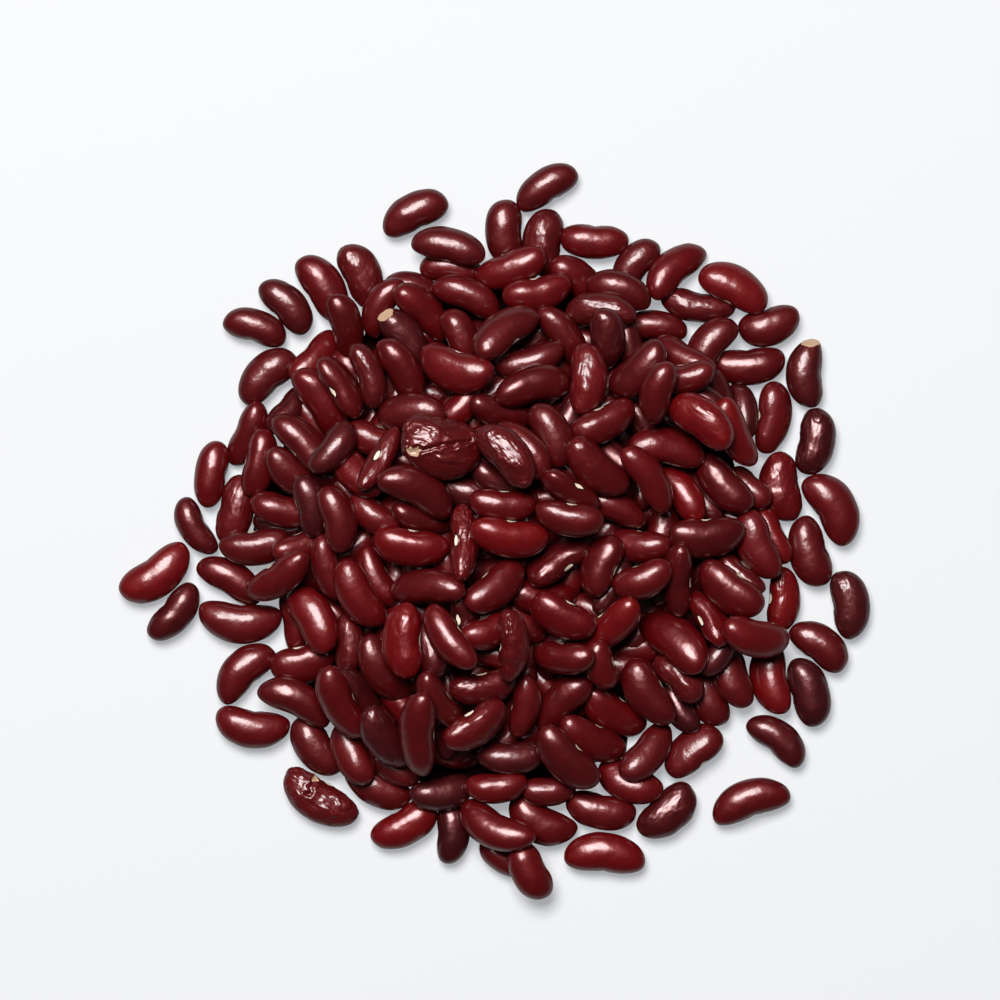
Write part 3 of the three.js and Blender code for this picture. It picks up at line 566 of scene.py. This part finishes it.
    # how far a place on top is from the crease, and how far along the crease
    value["flat"] = addNode(tree, "ShaderNodeCombineXYZ",
                            {0: value["x"], 1: value["y"], 2: 0.0}).outputs[0]
    value["wander"] = addNode(tree, "ShaderNodeTexNoise",
                              {"Vector": value["spot"], "Scale": beanShape["wanderScale"],
                               "Detail": beanShape["wanderDetail"]},
                              noise_dimensions="3D").outputs["Color"]
    addSteps(tree, "ShaderNodeVectorMath", value, (
        ("wander", "SUBTRACT", "wander", (0.5, 0.5, 0.5)),
        ("wander", "MULTIPLY", "wander", (beanShape["creaseWander"], beanShape["creaseWander"], 0)),
        ("flat", "ADD", "flat", "wander"),
        ("along", "SUBTRACT", "creaseTo", "creaseFrom"),
        ("away", "SUBTRACT", "flat", "creaseFrom"),
        ("share", "DOT_PRODUCT", "away", "along"),
        ("whole", "DOT_PRODUCT", "along", "along"),
    ))
    addSteps(tree, "ShaderNodeMath", value, (
        ("share", "DIVIDE", "share", "whole"),
        ("share", "MAXIMUM", "share", 0.0),
        ("share", "MINIMUM", "share", 1.0),
    ))
    value["nearest"] = addNode(tree, "ShaderNodeVectorMath",
                               {0: value["along"], "Scale": value["share"]},
                               operation="SCALE").outputs[0]
    addSteps(tree, "ShaderNodeVectorMath", value, (
        ("apart", "SUBTRACT", "away", "nearest"),
        ("apart", "LENGTH", "apart"),
    ))
    addSteps(tree, "ShaderNodeMath", value, (
        ("apart", "DIVIDE", "apart", "Crease width"),
        ("below", "LESS_THAN", "s", 0.0),
        ("apart", "MULTIPLY_ADD", "below", beanShape["farOff"], "apart"),
        ("crack", "MULTIPLY_ADD", "share", beanShape["splitTaper"], "apart"),
    ))
    value["onBean"] = addNode(tree, "ShaderNodeCombineXYZ",
                              {0: value["x"], 1: value["y"], 2: value["z"]}).outputs[0]
    value["hollow"] = value["c"]
    for label in ("onBean", "scar", "broken", "crack", "apart", "hollow"):
        kind = "FLOAT_VECTOR" if label == "onBean" else "FLOAT"
        beans = addNode(tree, "GeometryNodeStoreNamedAttribute",
                        {"Geometry": beans.outputs[0], "Name": label, "Value": value[label]},
                        data_type=kind, domain="POINT")
    for label in ("onBean", "broken", "apart", "hollow"):
        kind = "FLOAT_VECTOR" if label == "onBean" else "FLOAT"
        value[label] = addNode(tree, "GeometryNodeInputNamedAttribute", {"Name": label},
                               data_type=kind).outputs[0]
    turn = addNode(tree, "FunctionNodeEulerToRotation", {0: value["turn"]})
    turned = addNode(tree, "FunctionNodeRotateVector", {0: value["onBean"], 1: turn.outputs[0]})
    there = addNode(tree, "ShaderNodeVectorMath", {0: turned.outputs[0], 1: value["place"]},
                    operation="ADD")
    beans = addNode(tree, "GeometryNodeSetPosition",
                    {"Geometry": beans.outputs[0], "Position": there.outputs[0]})

    # slow lumps on all of them; where one has shrunk, dents, and folds mostly along the bean
    for label, size in (("lumps", "Lump size"), ("dents", "Dent size"), ("folds", "Fold size"),
                        ("crossFolds", "Fold size"), ("patch", "Lump size")):
        addSteps(tree, "ShaderNodeVectorMath", value, (
            (label, "DIVIDE", "onBean", size),
            (label, "DIVIDE", label, beanShape["stretch"][label]),
            (label, "ADD", label, "start"),
        ))
        value[label] = addNode(tree, "ShaderNodeTexNoise",
                               {"Vector": value[label], "Scale": 1.0, "Detail": beanShape["detail"],
                                "Roughness": 0.5, "Distortion": beanShape["distortion"]},
                               noise_dimensions="3D").outputs[0]
    addSteps(tree, "ShaderNodeMath", value, (
        ("lumps", "SUBTRACT", "lumps", 0.5),
        ("lumps", "MULTIPLY", "lumps", "Lump depth"),
        ("lumps", "MULTIPLY", "lumps", 2.0),
        ("dents", "SUBTRACT", "dents", 0.5),
        ("dents", "MULTIPLY", "dents", "Dent depth"),
        ("dents", "MULTIPLY", "dents", 2.0),
        # a sharp ridge is where the noise passes its middle
        ("folds", "SUBTRACT", "folds", 0.5),
        ("folds", "ABSOLUTE", "folds"),
        ("folds", "MULTIPLY_ADD", "folds", -beanShape["foldSlope"], 1.0),
        ("folds", "MAXIMUM", "folds", 0.0),
        ("crossFolds", "SUBTRACT", "crossFolds", 0.5),
        ("crossFolds", "ABSOLUTE", "crossFolds"),
        ("crossFolds", "MULTIPLY_ADD", "crossFolds", -beanShape["crossFoldSlope"], 1.0),
        ("crossFolds", "MAXIMUM", "crossFolds", 0.0),
        ("folds", "MULTIPLY_ADD", "crossFolds", -beanShape["crossFoldShare"], "folds"),
        # more of it on the hollow side
        ("patch", "MULTIPLY_ADD", "patch", beanShape["patchSlope"], beanShape["patchStart"]),
        ("patch", "MULTIPLY_ADD", "hollow", beanShape["patchOnHollow"], "patch"),
        ("patch", "MINIMUM", "patch", 1.0),
        ("patch", "MAXIMUM", "patch", beanShape["patchLeast"]),
        ("folds", "MULTIPLY", "folds", "Fold depth"),
        ("folds", "ADD", "folds", "dents"),
        ("folds", "MULTIPLY", "folds", "patch"),
        ("folds", "MULTIPLY", "folds", "wrinkle"),
        ("height", "ADD", "folds", "lumps"),
        # the crease, with its edges turned up
        ("groove", "MULTIPLY", "apart", "apart"),
        ("groove", "MULTIPLY", "groove", -1.0),
        ("groove", "EXPONENT", "groove"),
        ("lips", "SUBTRACT", "apart", beanShape["creaseLipAt"]),
        ("lips", "MULTIPLY", "lips", "lips"),
        ("lips", "MULTIPLY", "lips", -beanShape["creaseLipFall"]),
        ("lips", "EXPONENT", "lips"),
        ("groove", "MULTIPLY_ADD", "lips", -beanShape["creaseLipHeight"], "groove"),
        ("groove", "MULTIPLY", "groove", "Crease depth"),
        ("height", "SUBTRACT", "height", "groove"),
        # a broken face stays flat
        ("sound", "LESS_THAN", "broken", beanShape["unbroken"]),
        ("height", "MULTIPLY", "height", "sound"),
    ))
    normal = addNode(tree, "GeometryNodeInputNormal")
    out = addNode(tree, "ShaderNodeVectorMath", {0: normal.outputs[0], "Scale": value["height"]},
                  operation="SCALE")
    beans = addNode(tree, "GeometryNodeSetPosition",
                    {"Geometry": beans.outputs[0], "Offset": out.outputs[0]})
    beans = addNode(tree, "GeometryNodeSetShadeSmooth", {"Geometry": beans.outputs[0]})
    beans = addNode(tree, "GeometryNodeRealizeInstances", {"Geometry": beans.outputs[0]})
    beans = addNode(tree, "GeometryNodeSetMaterial",
                    {"Geometry": beans.outputs[0], "Material": value["Seed coat"]})
    addNode(tree, "NodeGroupOutput", {"Geometry": beans.outputs[0]})
    return tree


# Seed coat of a dried kidney bean: a thin hard skin with a natural polish, crimson to
# nearly black, finely dimpled so that its shine breaks up. The polish is the coat; the
# pigment under it throws back a soft red glow of its own.
seedCoat = dict(
    darkSkin="#220608", plainSkin="#3e0406", brightSkin="#560406", reddestSkin="#700b08",
    plainAt=0.42, brightAt=0.78,              # shades at which the skin has just that colour
    mottleSize=3.2, dimpleSize=2.4, crinkleSize=1.5, grainSize=0.85,               # mm
    dimpleDepth=0.11, bucklingDepth=0.06, crinkleDepth=0.045, grainDepth=0.012,    # mm
    mottleDetail=3.0, fineDetail=1.0, noiseRoughness=0.55, mottling=0.3,
    crinkleAlong=0.35, crinkleSlope=4,        # the crinkles are drawn out along the bean
    roughness=0.43, roughnessSpread=0.2,
    mattSpread=0.17, mattGrain=0.03,          # how far the beans differ in polish and in grain
    shrunkenMatt=0.05, bareMatt=0.4,          # added where it has shrunk; where there is no skin
    ior=1.45, specularLevel=0.72, pigment="#e26464", polish=0.85, polishRoughness=0.22,
    scarSkin="#dccdb6", scarEdge="#190607", brokenFlesh="#a2876d",
    scarEnd=1.0, scarEdgeEnd=1.5,             # half sizes of the scar
    splitRagged=1.2, splitEnd=1.9,            # widths of the crease, where the flesh shows
)


def seedCoatMaterial():
    material = bpy.data.materials.new("driedBeanSeedCoat")
    material.use_nodes = True
    tree = material.node_tree
    tree.nodes.clear()
    value = {}
    for label in ("shade", "wrinkle", "scar", "broken", "crack"):
        value[label] = addNode(tree, "ShaderNodeAttribute", attribute_name=label).outputs["Fac"]
    for label in ("onBean", "variety"):
        value[label] = addNode(tree, "ShaderNodeAttribute", attribute_name=label).outputs["Vector"]
    value["matt"] = addNode(tree, "ShaderNodeSeparateXYZ", {0: value["variety"]}).outputs["X"]
    value["inMm"] = addNode(tree, "ShaderNodeVectorMath", {0: value["onBean"], "Scale": 1 / mm},
                            operation="SCALE").outputs[0]
    addSteps(tree, "ShaderNodeVectorMath", value, (
        ("spot", "ADD", "inMm", "variety"),
        ("drawn", "MULTIPLY", "spot", (seedCoat["crinkleAlong"], 1, 1)),
    ))
    for label, source, size, detail in (("mottle", "spot", "mottleSize", "mottleDetail"),
                                        ("dimples", "spot", "dimpleSize", "fineDetail"),
                                        ("crinkle", "drawn", "crinkleSize", "fineDetail"),
                                        ("grain", "spot", "grainSize", "fineDetail")):
        value[label] = addNode(tree, "ShaderNodeTexNoise",
                               {"Vector": value[source], "Scale": 1 / seedCoat[size],
                                "Detail": seedCoat[detail],
                                "Roughness": seedCoat["noiseRoughness"]}).outputs[0]
    addSteps(tree, "ShaderNodeMath", value, (
        ("tone", "SUBTRACT", "mottle", 0.5),
        ("tone", "MULTIPLY_ADD", "tone", seedCoat["mottling"], "shade"),
        ("eye", "LESS_THAN", "scar", seedCoat["scarEnd"]),
        ("edge", "LESS_THAN", "scar", seedCoat["scarEdgeEnd"]),
        ("flesh", "GREATER_THAN", "broken", beanShape["unbroken"]),
        ("split", "MULTIPLY_ADD", "grain", seedCoat["splitRagged"], "crack"),
        ("split", "LESS_THAN", "split", seedCoat["splitEnd"]),
        ("flesh", "MAXIMUM", "flesh", "split"),
        ("dull", "MAXIMUM", "eye", "flesh"),
        # each bean is more or less polished, from -0.5 to 0.5, and rougher where it has shrunk
        ("matt", "DIVIDE", "matt", variety["span"]),
        ("rough", "MULTIPLY_ADD", "mottle", seedCoat["roughnessSpread"],
         seedCoat["roughness"] - seedCoat["roughnessSpread"] / 2),
        ("rough", "MULTIPLY_ADD", "matt", seedCoat["mattSpread"], "rough"),
        ("rough", "MULTIPLY_ADD", "wrinkle", seedCoat["shrunkenMatt"], "rough"),
        ("rough", "MULTIPLY_ADD", "dull", seedCoat["bareMatt"], "rough"),
        ("relief", "MULTIPLY_ADD", "wrinkle", seedCoat["bucklingDepth"], seedCoat["dimpleDepth"]),
        ("relief", "MULTIPLY", "relief", "dimples"),
        # fine sharp folds, where the noise passes its middle, on the shrunken ones only
        ("crinkle", "SUBTRACT", "crinkle", 0.5),
        ("crinkle", "ABSOLUTE", "crinkle"),
        ("crinkle", "MULTIPLY", "crinkle", "wrinkle"),
        ("relief", "MULTIPLY_ADD", "crinkle",
         -seedCoat["crinkleSlope"] * seedCoat["crinkleDepth"], "relief"),
        ("fine", "ADD", "matt", 0.5),
        ("fine", "MULTIPLY_ADD", "fine", seedCoat["mattGrain"], seedCoat["grainDepth"]),
        ("relief", "MULTIPLY_ADD", "grain", "fine", "relief"),
        ("relief", "MULTIPLY", "relief", mm),
    ))
    ramp = addNode(tree, "ShaderNodeValToRGB", {"Fac": value["tone"]})
    stops = ramp.color_ramp.elements
    stops[0].color, stops[1].color = (toLinear(seedCoat[c]) for c in ("darkSkin", "reddestSkin"))
    stops.new(seedCoat["plainAt"]).color = toLinear(seedCoat["plainSkin"])
    stops.new(seedCoat["brightAt"]).color = toLinear(seedCoat["brightSkin"])
    colour = ramp.outputs["Color"]
    for mask, over in (("edge", "scarEdge"), ("eye", "scarSkin"), ("flesh", "brokenFlesh")):
        colour = addNode(tree, "ShaderNodeMix",
                         {0: value[mask], 6: colour, 7: toLinear(seedCoat[over])},
                         data_type="RGBA").outputs[2]
    bump = addNode(tree, "ShaderNodeBump",
                   {"Height": value["relief"], "Distance": 1.0, "Strength": 1.0})
    shader = addNode(tree, "ShaderNodeBsdfPrincipled",
                     {"Base Color": colour, "Roughness": value["rough"], "Normal": bump.outputs[0],
                      "IOR": seedCoat["ior"], "Specular IOR Level": seedCoat["specularLevel"],
                      "Specular Tint": toLinear(seedCoat["pigment"]),
                      "Coat Weight": seedCoat["polish"], "Coat IOR": seedCoat["ior"],
                      "Coat Roughness": seedCoat["polishRoughness"],
                      "Coat Normal": bump.outputs[0]})
    addNode(tree, "ShaderNodeOutputMaterial", {"Surface": shader.outputs[0]})
    return material


skin = seedCoatMaterial()
tree = beanTree()
print("material and tree ready:", len(skin.node_tree.nodes), "and", len(tree.nodes), "nodes")


def addPiece(name, mesh):
    piece = bpy.data.objects.new(name, mesh)
    scene.collection.objects.link(piece)
    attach(piece, "root")
    return piece


# lets the tree grow the beans and keeps the result as a plain mesh
def growBeans(name, beans, roundAndAlong):
    carrier = bpy.data.objects.new(name + "Points", beanPoints(name + "Points", beans))
    scene.collection.objects.link(carrier)
    modifier = carrier.modifiers.new("kidneyBeans", "NODES")
    modifier.node_group = tree
    values = {label: float(beanShape[key]) for label, key in shapeInputs.items()}
    values.update(zip(("Facets round", "Facets along"), roundAndAlong))
    values["Seed coat"] = skin
    for item in tree.interface.items_tree:
        if item.in_out == "INPUT" and item.name in values:
            modifier[item.identifier] = values[item.name]
    grown = carrier.evaluated_get(bpy.context.evaluated_depsgraph_get())
    mesh = bpy.data.meshes.new_from_object(grown)
    mesh.name = name
    bpy.data.objects.remove(carrier)
    return addPiece(name, mesh)


# facets round and along a bean of each kind
facets = dict(
    smooth=(30, 22), broken=(104, 78), wrinkled=(72, 54), shrivelled=(128, 96), buried=(20, 14),
    loose=(48, 34), looseUneven=(104, 78),
)
sound = [b for b in shown if not b["chip"]]
limit = variety["shrivelledFrom"]
heapPieces = [
    growBeans("smoothBeans", [b for b in sound if not b["wrinkle"]], facets["smooth"]),
    growBeans("brokenBean", [b for b in shown if b["chip"]], facets["broken"]),
    growBeans("wrinkledBeans", [b for b in sound if 0 < b["wrinkle"] < limit], facets["wrinkled"]),
    growBeans("shrivelledBeans", [b for b in sound if b["wrinkle"] >= limit], facets["shrivelled"]),
    growBeans("buriedBeans", buried, facets["buried"]),
]
for k, b in enumerate(loose):
    kind = "looseUneven" if b["wrinkle"] or b["chip"] else "loose"
    piece = growBeans("looseBean%02d" % (k + 1), [b], facets[kind])
    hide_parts("loose_bean_%02d" % (k + 1))

# the core: a low mound that stays under the beans and keeps the light out from between them; its
# near-black colour is painted shade
core = dict(
    reach=(34, 64), step=1, inside=3, enclosedBy=5.5,         # mm
    lowCells=5, closedCells=3,                                # grid cells looked at round a place
    rings=24, sectors=60, below=1.2, least=0.5, base=0.2,     # mm
    # the colour below is painted shade, nearly black
    colour="#140506", roughness=1.0, specularLevel=0.0,
)
under, closed = (around(heights, [(axis, range(-cells, cells + 1)) for axis in (0, 1)], np.min)
                 for heights, cells in ((field, core["lowCells"]), (enclosed, core["closedCells"])))


def cellAt(x, y):
    return round(x / resting["cell"]) + side // 2, round(y / resting["cell"]) + side // 2


sectors = core["sectors"]
angles = [2 * math.pi * k / sectors for k in range(sectors)]
outline = []
for a in angles:
    least, r = core["reach"]
    while r > least and closed[cellAt(r * math.cos(a), r * math.sin(a))] < core["enclosedBy"]:
        r -= core["step"]
    outline.append(r)
outline = [min(outline[k - 1], outline[k], outline[(k + 1) % sectors]) - core["inside"]
           for k in range(sectors)]
corners, faces = [(0, 0, core["base"] * mm)], []
for r in range(core["rings"] + 1):
    for a, far in zip(angles, outline):
        x, y = (far * r / core["rings"] * f(a) for f in (math.cos, math.sin))
        height = max(core["least"], under[cellAt(x, y)] - core["below"])
        corners.append((x * mm, y * mm, height * mm))
first = 1 + core["rings"] * sectors
corners += [(x, y, core["base"] * mm) for x, y, _ in corners[first:]]
for r in range(core["rings"]):
    for k in range(sectors):
        a, b = 1 + r * sectors + k, 1 + r * sectors + (k + 1) % sectors
        faces.append((a, a + sectors, b + sectors, b))
for k in range(sectors):
    a, b = first + k, first + (k + 1) % sectors
    faces += [(a, a + sectors, b + sectors, b), (0, b + sectors, a + sectors)]
coreMesh = bpy.data.meshes.new("shadedCore")
coreMesh.from_pydata(corners, [], faces)
# painted shade: a skin coloured nearly black, without shine, standing for the beans deep in shade
# between the others
shade = bpy.data.materials.new("paintedShadeSkin")
shade.use_nodes = True
shader = shade.node_tree.nodes["Principled BSDF"]
shader.inputs["Base Color"].default_value = toLinear(core["colour"])
shader.inputs["Roughness"].default_value = core["roughness"]
shader.inputs["Specular IOR Level"].default_value = core["specularLevel"]
coreMesh.materials.append(shade)
heapPieces.append(addPiece("shadedCore", coreMesh))
for piece in heapPieces:
    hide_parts("bean_heap")
print("grown:", [(piece.name, len(piece.data.polygons)) for piece in heapPieces])

# the surface and the light; sizes and distances in metres, power in watts
studio = dict(
    floorSize=3.0, floorColour="#979797", floorRoughness=0.7, floorSpecular=0.2,
    # a painted glow, seen by the camera only
    floorGlow=0.435, glowColour="#ebedf2",
    boxSize=0.86, boxDistance=1.9, boxFrom=(-0.16, 0.41, 1.0), boxPower=70.0,
    roomColour="#eef2fa", roomStrength=0.06,
)

reach = studio["floorSize"] / 2
floorMesh = bpy.data.meshes.new("surface")
floorCorners = [(x * reach, y * reach, 0) for x, y in ((-1, -1), (1, -1), (1, 1), (-1, 1))]
floorMesh.from_pydata(floorCorners, [], [(0, 1, 2, 3)])
surface = bpy.data.objects.new("surface", floorMesh)
scene.collection.objects.link(surface)
# a grey, even surface with hardly any shine, and a painted glow that the camera alone sees:
# it paints the surface white and its shadows pale, while the beans get only what the grey throws
# back
paintedGlowFloor = bpy.data.materials.new("floorWithPaintedGlow")
paintedGlowFloor.use_nodes = True
shader = paintedGlowFloor.node_tree.nodes["Principled BSDF"]
shader.inputs["Base Color"].default_value = toLinear(studio["floorColour"])
shader.inputs["Roughness"].default_value = studio["floorRoughness"]
shader.inputs["Specular IOR Level"].default_value = studio["floorSpecular"]
shader.inputs["Emission Color"].default_value = toLinear(studio["glowColour"])
# the painted glow: emission on camera rays only
rays = addNode(paintedGlowFloor.node_tree, "ShaderNodeLightPath")
glow = addNode(paintedGlowFloor.node_tree, "ShaderNodeMath",
               {0: rays.outputs["Is Camera Ray"], 1: studio["floorGlow"]}, operation="MULTIPLY")
paintedGlowFloor.node_tree.links.new(glow.outputs[0], shader.inputs["Emission Strength"])
floorMesh.materials.append(paintedGlowFloor)

softBox = bpy.data.lights.new("softBox", "AREA")
softBox.shape = "SQUARE"
softBox.size = studio["boxSize"]
softBox.energy = studio["boxPower"]
lamp = bpy.data.objects.new("softBox", softBox)
lamp.location = Vector(studio["boxFrom"]).normalized() * studio["boxDistance"]
lamp.rotation_euler = lamp.location.to_track_quat("Z", "Y").to_euler()
scene.collection.objects.link(lamp)

room = bpy.data.worlds.new("room")
room.use_nodes = True
room.node_tree.nodes["Background"].inputs["Color"].default_value = toLinear(studio["roomColour"])
room.node_tree.nodes["Background"].inputs["Strength"].default_value = studio["roomStrength"]
scene.world = room
scene.view_settings.view_transform = "Standard"

# metres, but for the sensor's mm
view = dict(distance=1.6, frameWidth=0.2326, aim=(0.0014, 0.0070), sensorWidth=36)
camera = bpy.data.cameras.new("camera")
camera.sensor_width = view["sensorWidth"]
camera.lens = camera.sensor_width * view["distance"] / view["frameWidth"]
eye = bpy.data.objects.new("camera", camera)
eye.location = (*view["aim"], view["distance"])
scene.collection.objects.link(eye)
scene.camera = eye
print("studio ready")
